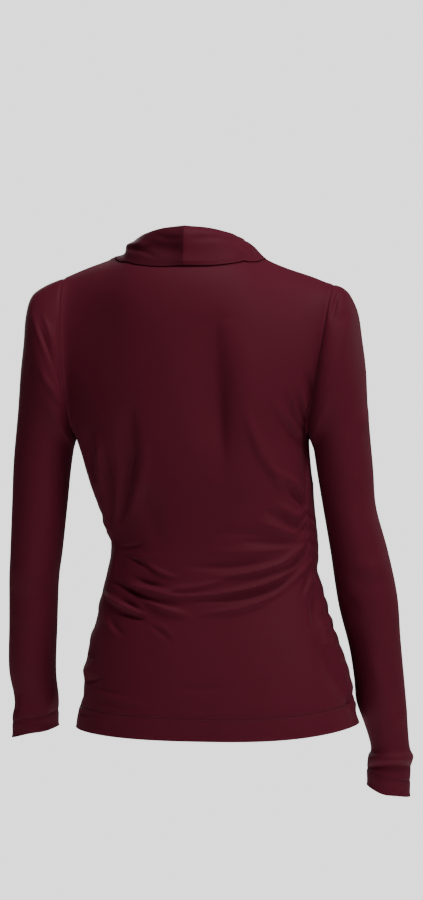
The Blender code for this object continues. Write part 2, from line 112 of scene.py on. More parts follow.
world = bpy.data.worlds.new("studio")
bpy.context.scene.world = world
world.use_nodes = True
sky = world.node_tree
sky.nodes.clear()
seen_sky, soft_sky = (sky.nodes.new("ShaderNodeBackground") for _ in range(2))
set_inputs(seen_sky, {"Color": BACKDROP})
set_inputs(soft_sky, {"Color": AMBIENT})
path = sky.nodes.new("ShaderNodeLightPath")
either = sky.nodes.new("ShaderNodeMixShader")
world_out = sky.nodes.new("ShaderNodeOutputWorld")
sky.links.new(path.outputs["Is Camera Ray"], either.inputs["Fac"])
sky.links.new(soft_sky.outputs["Background"], either.inputs[1])
sky.links.new(seen_sky.outputs["Background"], either.inputs[2])
sky.links.new(either.outputs["Shader"], world_out.inputs["Surface"])

LIT_PLACE = Vector((0, 0, -0.3))
LIGHTS = (
    ("key", 1.9, -1.9, 1.3, 1.2, 60.0),
    ("fill", -1.2, -2.7, 0.2, 2.0, 9.0),
    ("top", 0.3, -0.7, 2.2, 1.1, 70.0),
    ("rim_right", 2.0, 1.2, 0.4, 0.9, 8.0),
    ("front_fill", -0.6, 2.6, 0.5, 1.8, 26.0),
)
for name, across, back, up, size, watts in LIGHTS:
    lamp = bpy.data.lights.new(name, "AREA")
    lamp.shape = "DISK"
    lamp.size = size
    lamp.energy = watts
    place = Vector(to_right * across + to_front * back) + Vector((0, 0, up))
    set_up(name, lamp, place, (LIT_PLACE - place).to_track_quat("-Z", "Y").to_euler())

# ---- The back ----------------------------------------------------------------------------------------
# One panel of cotton and elastane jersey, cut to the shoulder seams, the armholes and the neck, and
# gathered along both side seams, from which soft drag lines run across the waist.
JERSEY = (0.0600, 0.0058, 0.0132)
CLOTH_THICK = 0.0009
SEAM_REST = 0.00005
ARMPIT = -0.232
HEM = -0.5963
HEM_RISE_LEFT = 0.006
HEM_RISE_RIGHT = 0.013
HEM_RISE_ENDS = -0.300
NECK_HALF_WIDTH = 0.075
NAPE_DEPTH = 0.055
NAPE_DROP = 0.012
V_DEPTH = 0.190
V_FORWARD = 0.121
V_ROUNDNESS = 2.6
NECK_SPREAD = 1.6
SLOPE_LEFT, SLOPE_RIGHT = 0.395, 0.405
DIP_LEFT, DIP_RIGHT, DIP_LEAN = 0.0010, 0.0060, 0.7
TIP_LEFT, TIP_RIGHT = 0.161, 0.177
HOLE_BACK, HOLE_FRONT = 0.064, 0.060
HOLE_SPREAD = 0.8
YOKE_ROUNDNESS, YOKE_BLEND, YOKE_LEAN = 3.0, 3.0, 1.5
BODY_ROUNDNESS, BODY_FLATNESS = 2.3, 1.4
COLUMNS_ACROSS = 18
SHOULDER_COLUMNS = 5


def metres(*rows):
    """A table whose rows are written in millimetres, in metres."""
    return [[value / 1000 for value in row] for row in rows]


BODY_COLUMNS = ("height", "centre_x", "half_width", "back_depth", "front_depth")
BODY_SECTIONS = metres(
    (-610, -33, 175.5, 110, 112),
    (-583, -32, 173.5, 111, 112),
    (-558, -33.5, 168, 110, 113),
    (-533, -32, 164.2, 107, 113),
    (-484, -28, 153.5, 98, 111),
    (-434, -26.5, 139.3, 86, 106),
    (-409, -26.5, 133.2, 80, 103),
    (-360, -28.5, 128.3, 74, 100),
    (-310, -16.5, 135.5, 78, 104),
    (-273, -9, 141, 85, 112),
    (-246, -3.5, 143.5, 90, 117.5),
    (-232, 0, 145, 92, 118.5),
)
SEAM_COLUMNS = ("height", "left", "right")
SIDE_SEAMS = metres(
    (-610, 0, 0),
    (-484, 0, 2),
    (-420, 2, 6),
    (-362, 5, 26),
    (-310, 5, 22),
    (-265, 2, 10),
    (-232, 0, 0),
)


def smooth_curve(knots, values, at):
    """Places on the smooth curve through some values at rising knots."""
    knots, values = np.asarray(knots, float), np.asarray(values, float)
    at = np.clip(at, knots[0], knots[-1])
    i = np.clip(np.searchsorted(knots, at) - 1, 0, len(knots) - 2)
    slopes = np.gradient(values, knots)
    step = knots[i + 1] - knots[i]
    t = (at - knots[i]) / step
    start = values[i] * (1 + 2 * t) * (1 - t) ** 2 + slopes[i] * step * t * (1 - t) ** 2
    return start + values[i + 1] * t * t * (3 - 2 * t) - slopes[i + 1] * step * t * t * (1 - t)


def from_table(columns, rows, name, at, key=None):
    """A named column of a table, at places along its key column or along its rows."""
    knots = np.arange(len(rows)) if key is None else [row[columns.index(key)] for row in rows]
    return smooth_curve(knots, [row[columns.index(name)] for row in rows], at)


def body_size(name, height):
    return from_table(BODY_COLUMNS, BODY_SECTIONS, name, height, "height")


def rounded(value, roundness):
    return np.sign(value) * np.abs(value) ** (2 / roundness)


def arc_over(share, roundness):
    return np.maximum(0.0, 1 - share**roundness) ** (1 / roundness)


def body_form(side, across, height):
    """The panel below the armpits, with no folds. across runs from -1 to 1, counter-clockwise from above."""
    depth, back_depth = body_size(side + "_depth", height), body_size("back_depth", height)
    left = np.arcsin(from_table(SEAM_COLUMNS, SIDE_SEAMS, "left", height, "height") / back_depth)
    right = np.pi - np.arcsin(from_table(SEAM_COLUMNS, SIDE_SEAMS, "right", height, "height") / back_depth)
    first, last = (left, right) if side == "back" else (right, 2 * np.pi + left)
    angle = first + (last - first) * (across + 1) / 2
    depth = np.where((side == "front") & (np.sin(angle) > 0), back_depth, depth)
    x = body_size("centre_x", height) + body_size("half_width", height) * rounded(np.cos(angle), BODY_ROUNDNESS)
    return np.stack([x, depth * rounded(np.sin(angle), BODY_ROUNDNESS), height + 0 * x], -1)


def shoulder_height(is_left, x):
    """The shoulder seam falls from the neck to the tip, with a dip near the neck."""
    outside = np.maximum(0.0, x - NECK_HALF_WIDTH)
    share = outside / (np.where(is_left, TIP_LEFT, TIP_RIGHT) - NECK_HALF_WIDTH)
    dip = np.where(is_left, DIP_LEFT, DIP_RIGHT) * np.sin(np.pi * share**DIP_LEAN)
    return -np.where(is_left, SLOPE_LEFT, SLOPE_RIGHT) * outside - dip


def top_edge(side, across):
    """Where each column of a panel ends, on the shoulder seam or the neck edge."""
    across = np.asarray(across, float)
    is_left = (across < 0) == (side == "back")
    hand = np.where(is_left, 1.0, -1.0)
    tip = np.where(is_left, TIP_LEFT, TIP_RIGHT)
    steps = (1 - np.abs(across)) * COLUMNS_ACROSS / 2
    x = tip + (NECK_HALF_WIDTH - tip) * np.minimum(steps / SHOULDER_COLUMNS, 1)
    seam = np.stack([hand * x, 0 * x, shoulder_height(is_left, x)], -1)
    along = np.clip((steps - SHOULDER_COLUMNS) / (COLUMNS_ACROSS / 2 - SHOULDER_COLUMNS), 0, 1)
    if side == "back":
        turn = along * np.pi / 2
        x = NECK_HALF_WIDTH * np.cos(turn)
        neck = np.stack([hand * x, NAPE_DEPTH * np.sin(turn), -NAPE_DROP * np.sin(turn)], -1)
    else:
        along = along**NECK_SPREAD
        forward = V_FORWARD * arc_over(1 - along, V_ROUNDNESS)
        neck = np.stack([hand * NECK_HALF_WIDTH * (1 - along), -forward, -V_DEPTH * along], -1)
    return np.where((steps <= SHOULDER_COLUMNS)[..., None], seam, neck)


def armhole_x(is_left, share):
    start = body_size("half_width", ARMPIT)
    return start + (np.where(is_left, TIP_LEFT, TIP_RIGHT) - start) * share**HOLE_SPREAD


def yoke_form(side, across, share):
    """The panel above the armpits, up to the shoulder seam and the neck edge at a share of 1."""
    sign = 1 if side == "back" else -1
    angle = np.pi * (across + 1) / 2
    facing = rounded(np.sin(angle), BODY_ROUNDNESS)
    sideways = rounded(np.cos(angle), BODY_ROUNDNESS) * sign
    is_left = sideways > 0
    tip = np.where(is_left, TIP_LEFT, TIP_RIGHT)
    top = top_edge(side, across)
    over = arc_over(share, YOKE_ROUNDNESS)
    lean = share**YOKE_LEAN
    x = armhole_x(is_left, share) * (sideways * (1 - lean) + top[..., 0] / tip * lean)
    rise = 1 - top[..., 2] / ARMPIT
    edge = HOLE_BACK if side == "back" else HOLE_FRONT
    hole = edge * 2 * np.sqrt(np.maximum(0, share * (1 - share))) * rise
    body = facing * body_size(side + "_depth", ARMPIT) * over
    bulge = (hole**YOKE_BLEND + body**YOKE_BLEND) ** (1 / YOKE_BLEND)
    z = ARMPIT + (top[..., 2] - ARMPIT) * share
    return np.stack([x, sign * bulge + top[..., 1] * (1 - over), z], -1)


PANEL_STEPS = 188
SEAM_COLUMNS_AT = (0.0, 0.0025, 0.0055, 0.0095, 0.0145)
BODY_STEPS = 170
YOKE_STEPS = 68
RELAXED_STEPS = 26
RELAX_TIMES = 260


def panel_columns():
    """Where the columns stand across a panel: even, with a few closer ones beside the seams."""
    edge = np.array(SEAM_COLUMNS_AT)
    last = 2 * edge[-1] - edge[-2]
    return np.concatenate([edge - 1, np.linspace(last - 1, 1 - last, PANEL_STEPS + 1), 1 - edge[::-1]])


NUDGES = metres(
    (79, 10, 8.5, 7, 2),
    (86, -1, 7, -1.5, -1),
    (95, -8.5, 6, 5, -0.5),
    (-66.5, 13, 8, 3.5, 0),
    (130, -22, 35, 0, 1.8),
    (-172, -40, 18, 0, -3),
    (-158, -396.5, 9, 2.6, 0),
    (-203, -560, 18, 2.2, 0),
    (222, -585, 20, 2.2, 0),
    (106, -345, 13, 4.5, 0),
    (134, -520, 10, 3.5, 0),
    (118.5, -459, 11, -2.7, 0),
    (-178, -465, 32, 2, 0),
    (190, -590, 16, 0, -3.5),
    (-235, -670, 16, 0, -3.5),
)


def nudged(grid):
    """The cloth moved a little at a few places on its outline, alike on the pieces that meet there."""
    moved = grid.copy()
    for x, z, reach, move_x, move_z in NUDGES:
        away = ((grid[..., 0] - x) ** 2 + (grid[..., 2] - z) ** 2) / reach**2
        moved += np.exp(-away)[..., None] * np.array((move_x, 0.0, move_z))
    return moved


def panel_grid(side):
    """The panel's form as a fine grid from the hem up, with the armpit line smoothed away."""
    across = np.linspace(-1, 1, PANEL_STEPS + 1)[None, :]
    height = np.linspace(HEM, ARMPIT, BODY_STEPS + 1)[:, None]
    below = body_form(side, across, height)
    sideways = (below[..., 0] - body_size("centre_x", height)) / body_size("half_width", height)
    rise = np.where(sideways > 0, HEM_RISE_LEFT, HEM_RISE_RIGHT) * np.abs(sideways) ** 3
    risen = np.clip((height - HEM) / (HEM_RISE_ENDS - HEM), 0, 1)
    below[..., 2] += rise * (1 - risen)
    share = (1 - np.cos(np.pi * np.arange(1, YOKE_STEPS + 1) / YOKE_STEPS))[:, None] / 2
    grid = np.concatenate([below, yoke_form(side, across, share)])
    low, high = BODY_STEPS - RELAXED_STEPS, BODY_STEPS + YOKE_STEPS
    for _ in range(RELAX_TIMES):
        around = grid[low - 1 : high - 1, 1:-1] + grid[low + 1 : high + 1, 1:-1]
        around = around + grid[low:high, :-2] + grid[low:high, 2:]
        grid[low:high, 1:-1] = (grid[low:high, 1:-1] + around / 4) / 2
    columns = panel_columns()
    finer = [[np.interp(columns, across[0], row[:, axis]) for axis in range(3)] for row in grid]
    return np.array(finer).transpose(0, 2, 1)


def unit(vectors):
    return vectors / np.maximum(np.linalg.norm(vectors, axis=-1, keepdims=True), 1e-12)


def grid_normals(grid, is_tube=False):
    """The direction out of the cloth at each point of a grid."""
    if is_tube:
        wide = np.concatenate([grid[:, -2:-1], grid, grid[:, 1:2]], 1)
        sideways = np.gradient(wide, axis=1)[:, 1:-1]
    else:
        sideways = np.gradient(grid, axis=1)
    return unit(np.cross(sideways, np.gradient(grid, axis=0)))


def as_seen(points, normals, view):
    """Where points show, across and up in metres from the origin, and how squarely they face the viewer."""
    if view == "behind":
        ray = points - eye
        away = ray @ to_front
        across = (ray @ to_right) / away * DISTANCE + ORIGIN_LEFT_OF_MIDDLE
        up = ray[..., 2] / away * DISTANCE - MIDDLE_BELOW_ORIGIN
        return across, up, -(normals @ to_front)
    return points[..., 0], points[..., 2], -normals[..., 1]


CREASE_COLUMNS = ("x0", "z0", "x1", "z1", "x2", "z2", "wide_up", "wide_down", "lift")
CURVE_STEPS = 24
REACH_IN_WIDTHS = 3.2
WIDTH_AT_ENDS, WIDTH_SWELL = 0.6, 0.5
FACING_FADE = 0.35


def crease_lift(points, normals, creases, view):
    """The height of soft ridges and troughs, each along a curve through three places, dying at its ends."""
    across, up, facing = as_seen(points, normals, view)
    lift = np.zeros(across.shape)
    for row in creases:
        crease = dict(zip(CREASE_COLUMNS, row))
        start, middle, end = (np.array((crease["x" + n], crease["z" + n])) for n in "012")
        reach = REACH_IN_WIDTHS * max(crease["wide_up"], crease["wide_down"])
        low = np.minimum(np.minimum(start, middle), end) - reach
        high = np.maximum(np.maximum(start, middle), end) + reach
        near = (across > low[0]) & (across < high[0]) & (up > low[1]) & (up < high[1]) & (facing > 0)
        if not near.any():
            continue
        t = np.linspace(0, 1, CURVE_STEPS)[:, None]
        handle = 2 * middle - (start + end) / 2
        line = start * (1 - t) ** 2 + 2 * handle * t * (1 - t) + end * t**2
        here = np.stack([across[near], up[near]], -1)
        best = np.full(len(here), np.inf)
        share = np.zeros(len(here))
        above = np.zeros(len(here))
        for k in range(CURVE_STEPS - 1):
            run = line[k + 1] - line[k]
            s = np.clip(((here - line[k]) @ run) / (run @ run), 0, 1)
            off = here - line[k] - s[:, None] * run
            d = np.einsum("ij,ij->i", off, off)
            closer = d < best
            best = np.where(closer, d, best)
            share = np.where(closer, (k + s) / (CURVE_STEPS - 1), share)
            side = run[0] * off[:, 1] - run[1] * off[:, 0]
            above = np.where(closer, side * (1 if run[0] >= 0 else -1), above)
        fade = np.sin(np.pi * np.clip(share, 0.0, 1.0))
        width = np.where(above > 0, crease["wide_up"], crease["wide_down"])
        width = width * (WIDTH_AT_ENDS + WIDTH_SWELL * fade)
        fade = np.where((share <= 0) | (share >= 1), 0.0, fade)
        square = np.clip(facing[near] / FACING_FADE, 0, 1)
        lift[near] += crease["lift"] * fade * square * np.exp(-best / width**2)
    return lift


GATHER_TOP, GATHER_BOTTOM, GATHER_COUNT = -0.315, -0.575, 13
GATHER_HEIGHT, GATHER_REACH, GATHER_FALL, GATHER_FADE = 0.0015, 0.030, 0.35, 0.030
GATHER_UNEVENNESS = ((2.7, 0.25), (1.3, 0.15))
STRENGTH, STRENGTH_SWING, STRENGTH_PITCH, STRENGTH_START = 0.6, 0.4, 0.9, 1.3
PUCKER_HEIGHT, PUCKER_REACH, PUCKER_FALL = 0.0013, 0.011, 1.0
PUCKERS_PER_GATHER, PUCKER_UNEVENNESS = 1.45, 1.7
LEFT_SHARE = 0.5
AT_SEAM, SEAM_EDGE = 0.5, 0.005


def bell(distance, width):
    """1 where the distance is nothing, dying away over a width."""
    return np.exp(-((distance / width) ** 2))


def gather_lift(height, from_seam, is_left):
    """The waves that run in from a side seam, and the small puckers close to its stitches."""
    inside = np.minimum(height - GATHER_BOTTOM, GATHER_TOP - height)
    ends = np.clip(inside / GATHER_FADE + 0.5, 0, 1)
    pitch = (GATHER_TOP - GATHER_BOTTOM) / GATHER_COUNT
    fallen = height + GATHER_FALL * from_seam
    steeper = height + PUCKER_FALL * from_seam
    uneven = sum(swing * np.sin(fallen / (long * pitch)) for long, swing in GATHER_UNEVENNESS)
    strength = STRENGTH + STRENGTH_SWING * np.sin(fallen / (STRENGTH_PITCH * pitch) + STRENGTH_START)
    wave = np.sin(2 * np.pi * (fallen / pitch + uneven)) * bell(from_seam, GATHER_REACH)
    turns = PUCKERS_PER_GATHER * steeper / pitch + PUCKER_UNEVENNESS * uneven
    pucker = np.sin(2 * np.pi * turns) * bell(from_seam, PUCKER_REACH)
    held = (1 - AT_SEAM * bell(from_seam, SEAM_EDGE)) * np.where(is_left, LEFT_SHARE, 1.0)
    return ends * held * strength * (GATHER_HEIGHT * wave + PUCKER_HEIGHT * pucker)


def outward(grid):
    """The level direction out of the body, in which the gathers stand."""
    height = grid[..., 2]
    sideways = (grid[..., 0] - body_size("centre_x", height)) / body_size("half_width", height)
    depth = np.where(grid[..., 1] > 0, body_size("back_depth", height), body_size("front_depth", height))
    backward = grid[..., 1] / depth
    return unit(np.stack([sideways / BODY_FLATNESS, backward, 0 * height], -1))


SEAM_SINK, ARMHOLE_SINK, SEAM_ROUND = 0.0004, 0.0012, 0.0022
SEAM_ROLL, SEAM_ROLL_FROM, SEAM_ROLL_WIDE = 0.0006, 0.0016, 0.0012
SEAM_STILL = 0.0045


def shaped_panel(side, view, creases):
    """The panel with its gathers, its folds and the rounded edges of its seams."""
    grid = panel_grid(side)
    normals = grid_normals(grid)
    across = np.abs(panel_columns())[None, :]
    height = grid[..., 2]
    round_body = np.pi * (body_size("half_width", height) + body_size(side + "_depth", height)) / 4
    from_seam = (1 - across) * round_body
    below = (np.arange(len(grid)) <= BODY_STEPS)[:, None]
    is_left = grid[..., 0] > body_size("centre_x", height)
    shaped = grid + outward(grid) * (gather_lift(height, from_seam, is_left) * below)[..., None]
    moving = 1 - bell(from_seam, SEAM_STILL)
    shaped += normals * (crease_lift(grid, normals, creases, view) * moving)[..., None]
    roll = SEAM_ROLL * below * bell(from_seam - SEAM_ROLL_FROM, SEAM_ROLL_WIDE)
    sink = np.where(below, SEAM_SINK, ARMHOLE_SINK) * bell(from_seam, SEAM_ROUND)
    return nudged(shaped + outward(grid) * roll[..., None] - normals * sink[..., None])


HEM_DEEP = 0.027
HEM_STITCH_SINK, HEM_STITCH_WIDE = 0.0006, 0.0022
HEM_PROUD, HEM_PROUD_WITHIN = 0.0003, 0.004
HEM_ROLL, HEM_ROLL_WIDE = 0.0008, 0.0030


def sink_hem(grid, normals, from_edge, deep):
    """The twin-needle row pulls the cloth in a little, and the turned edge under it stands slightly proud."""
    sink = HEM_STITCH_SINK * bell(from_edge - deep, HEM_STITCH_WIDE)
    proud = HEM_PROUD * np.clip((deep - from_edge) / HEM_PROUD_WITHIN, 0, 1)
    proud = proud + HEM_ROLL * bell(from_edge, HEM_ROLL_WIDE)
    return grid + normals * (proud - sink)[..., None]


def lay_uv(obj, grid):
    """The cloth's own measure across and along as its UV map, in metres."""
    across = np.linalg.norm(np.diff(grid, axis=1), axis=-1).mean(0)
    along = np.linalg.norm(np.diff(grid, axis=0), axis=-1).mean(1)
    u = np.concatenate([[0], np.cumsum(across)])
    v = np.concatenate([[0], np.cumsum(along)])
    flat = np.stack(np.meshgrid(u, v), -1).reshape(-1, 2)
    loops = np.empty(len(obj.data.loops), np.int32)
    obj.data.loops.foreach_get("vertex_index", loops)
    obj.data.uv_layers[0].data.foreach_set("uv", flat[loops].ravel())


def modify(obj, kind, **settings):
    """Change an object's mesh by a modifier with these settings."""
    modifier = obj.modifiers.new(kind, kind)
    for name, value in settings.items():
        setattr(modifier, name, value)
    bpy.ops.object.modifier_apply(modifier=kind)


SHARP_ANGLE = math.radians(55)
JOINED_WITHIN = 0.00001


def cloth_from_grid(name, grid, is_tube=False, thick=CLOTH_THICK, rounding=0.0):
    """A sheet of cloth with a wall behind its outer side, from a grid of points."""
    rows, columns = grid.shape[:2]
    faces = {"x_subdivisions": columns - 1, "y_subdivisions": rows - 1}
    cloth = new_shape(name, bpy.ops.mesh.primitive_grid_add, size=1.0, **faces)
    cloth.data.vertices.foreach_set("co", grid.reshape(-1))
    lay_uv(cloth, grid)
    if is_tube:
        bpy.ops.object.mode_set(mode="EDIT")
        bpy.ops.mesh.select_all(action="SELECT")
        bpy.ops.mesh.remove_doubles(threshold=JOINED_WITHIN)
        bpy.ops.object.mode_set(mode="OBJECT")
    bpy.ops.object.shade_smooth()
    modify(cloth, "SOLIDIFY", thickness=thick, offset=-1)
    if rounding:
        modify(cloth, "BEVEL", width=rounding, segments=2, angle_limit=SHARP_ANGLE)
    else:
        cloth.data.set_sharp_from_angle(angle=SHARP_ANGLE)
    return cloth


def add_noise(tree, values):
    """A noise that stays with the piece."""
    place = tree.nodes.new("ShaderNodeTexCoord")
    noise = tree.nodes.new("ShaderNodeTexNoise")
    set_inputs(noise, values)
    tree.links.new(place.outputs["Object"], noise.inputs["Vector"])
    return noise.outputs["Fac"]


WALE_PITCH, WALE_HEIGHT, LOOP_SLANT = 0.0011, 1.2, 1.3
CLOUD_SCALE, CLOUD_DETAIL, CLOUD_SWING = 9.0, 3.0, 0.10
FIBRE_SCALE, FIBRE_SWING = 900.0, 0.10
TONE_FROM = 0.90


def jersey_knit():
    """A node group: the fine loops of the knit as a height, and how its colour varies."""
    group = bpy.data.node_groups.new("jersey_knit", "ShaderNodeTree")
    for way, name, kind in (
        ("INPUT", "Wale Pitch", "Float"),
        ("INPUT", "Colour", "Color"),
        ("OUTPUT", "Colour", "Color"),
        ("OUTPUT", "Height", "Float"),
    ):
        group.interface.new_socket(name, in_out=way, socket_type="NodeSocket" + kind)
    nodes, links = group.nodes, group.links
    inside, outside = nodes.new("NodeGroupInput"), nodes.new("NodeGroupOutput")

    def result_of(operation, a, b):
        node = nodes.new("ShaderNodeMath")
        node.operation = operation
        for socket, value in zip(node.inputs, (a, b)):
            if isinstance(value, (int, float)):
                socket.default_value = value
            else:
                links.new(value, socket)
        return node.outputs["Value"]

    uv = nodes.new("ShaderNodeUVMap")
    parts = nodes.new("ShaderNodeSeparateXYZ")
    links.new(uv.outputs["UV"], parts.inputs["Vector"])
    wale, course = (result_of("DIVIDE", parts.outputs[way], inside.outputs["Wale Pitch"]) for way in "XY")
    across = result_of("PINGPONG", wale, 0.5)
    slanted = result_of("ADD", result_of("MULTIPLY", course, LOOP_SLANT), across)
    loop = result_of("PINGPONG", slanted, 0.5)
    links.new(result_of("ADD", result_of("MULTIPLY", across, WALE_HEIGHT), loop), outside.inputs["Height"])
    cloudy = add_noise(group, {"Scale": CLOUD_SCALE, "Detail": CLOUD_DETAIL})
    fibres = add_noise(group, {"Scale": FIBRE_SCALE})
    clouds = result_of("MULTIPLY", cloudy, CLOUD_SWING)
    tone = result_of("ADD", clouds, result_of("MULTIPLY", fibres, FIBRE_SWING))
    shade = nodes.new("ShaderNodeHueSaturation")
    links.new(result_of("ADD", tone, TONE_FROM), shade.inputs["Value"])
    links.new(inside.outputs["Colour"], shade.inputs["Color"])
    links.new(shade.outputs["Color"], outside.inputs["Colour"])
    return group


def add_bump(tree, shader, height, values):
    """A fine relief on the surface, from another node's output."""
    bump = tree.nodes.new("ShaderNodeBump")
    set_inputs(bump, values)
    tree.links.new(height, bump.inputs["Height"])
    tree.links.new(bump.outputs["Normal"], shader.inputs["Normal"])


knit = jersey_knit()
KNIT_BUMP = {"Strength": 0.22, "Distance": 0.0003}
JERSEY_SURFACE = {
    "Roughness": 0.60,
    "Specular IOR Level": 0.04,
    "Sheen Weight": 0.03,
    "Sheen Roughness": 0.42,
    "Sheen Tint": (1.0, 0.55, 0.62, 1.0),
}


def jersey(name, tone=1.0):
    """Burgundy jersey, matt, with a soft pink bloom where it is seen edge on."""
    finish, tree, shader = new_finish(name, JERSEY_SURFACE)
    loops = tree.nodes.new("ShaderNodeGroup")
    loops.node_tree = knit
    # A tone below 1 darkens the jersey's colour: painted shade, passed in for the left collar half
    set_inputs(loops, {"Wale Pitch": WALE_PITCH, "Colour": tuple(tone * part for part in JERSEY) + (1.0,)})
    tree.links.new(loops.outputs["Colour"], shader.inputs["Base Color"])
    add_bump(tree, shader, loops.outputs["Height"], KNIT_BUMP)
    return finish


def finish_piece(piece, node, rows=(), tone=1.0):
    """The finish, the part it stands for hidden, and the stitches on it."""
    piece.data.materials.append(jersey(node + "_jersey", tone))
    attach(piece, "root")
    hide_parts(node)
    for row in rows:
        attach(row, "root")


STITCH_LONG, STITCH_WIDE, STITCH_PITCH = 0.0027, 0.0006, 0.0034
NEEDLES_APART = 0.0032
STITCH_PROUD = 0.0001
THREAD_DARK, THREAD_LIGHT = (0.0300, 0.0030, 0.0068, 1.0), (0.0620, 0.0064, 0.0140, 1.0)
THREAD_SURFACE = {"Roughness": 0.45, "Specular IOR Level": 0.25}
THREAD_BUMP = {"Strength": 0.3, "Distance": 0.0001}
TWIST_SCALE = 1800.0


def sewing_thread():
    """Polyester thread of the jersey's colour, glossier than the jersey, varied by its twist."""
    finish, tree, shader = new_finish("sewing_thread", THREAD_SURFACE)
    twist = add_noise(tree, {"Scale": TWIST_SCALE})
    shade = tree.nodes.new("ShaderNodeMix")
    shade.data_type = "RGBA"
    shade.inputs["A"].default_value = THREAD_DARK
    shade.inputs["B"].default_value = THREAD_LIGHT
    tree.links.new(twist, shade.inputs["Factor"])
    tree.links.new(shade.outputs["Result"], shader.inputs["Base Color"])
    add_bump(tree, shader, twist, THREAD_BUMP)
    return finish


thread = sewing_thread()


def stitch_row(name, points):
    """One stitch, repeated along a line of points on the cloth."""
    line = new_shape(name + "_line", bpy.ops.curve.primitive_nurbs_path_add)
    line.data.splines.clear()
    path = line.data.splines.new("POLY")
    path.points.add(len(points) - 1)
    path.points.foreach_set("co", np.column_stack([points, np.ones(len(points))]).ravel())
    long = np.linalg.norm(np.diff(points, axis=0), axis=-1).sum()
    ball = {"subdivisions": 1, "radius": 0.5, "location": (STITCH_PITCH, 0, 0)}
    row = new_shape(name, bpy.ops.mesh.primitive_ico_sphere_add, **ball)
    row.scale = (STITCH_LONG, STITCH_WIDE, STITCH_WIDE)
    bpy.ops.object.transform_apply(location=True, rotation=False, scale=True)
    along = {"use_relative_offset": False, "use_constant_offset": True}
    count = int((long - STITCH_PITCH) / STITCH_PITCH)
    modify(row, "ARRAY", count=count, constant_offset_displace=(STITCH_PITCH, 0, 0), **along)
    modify(row, "CURVE", object=line)
    bpy.ops.object.shade_smooth()
    bpy.data.objects.remove(line)
    row.data.materials.append(thread)
    return row


def twin_rows(name, grid, up, deep, is_tube=False):
    """The two rows of a twin needle that hold a turned hem, on the outer side of the cloth."""
    outer = grid + grid_normals(grid, is_tube) * STITCH_PROUD
    columns = range(grid.shape[1])
    rows = []
    for needle, height in (("lower", deep - NEEDLES_APART / 2), ("upper", deep + NEEDLES_APART / 2)):
        line = [[np.interp(height, up[:, c], outer[:, c, axis]) for axis in range(3)] for c in columns]
        rows.append(stitch_row(name + "_" + needle + "_stitches", np.array(line)))
    return rows


BESIDE_SEAMS = 2


def sewn_panel(side, view, creases):
    """A whole panel with its turned hem. Its stitches stop a little short of the side seams."""
    grid = shaped_panel(side, view, creases)
    from_hem = grid[..., 2] - grid[:1, :, 2]
    grid = sink_hem(grid, outward(grid), from_hem, HEM_DEEP)
    panel = cloth_from_grid(side + "_panel", grid)
    inner = (slice(None), slice(BESIDE_SEAMS, -BESIDE_SEAMS))
    rows = twin_rows(side + "_hem", grid[inner], from_hem[inner], HEM_DEEP)
    finish_piece(panel, side, rows)
    return grid


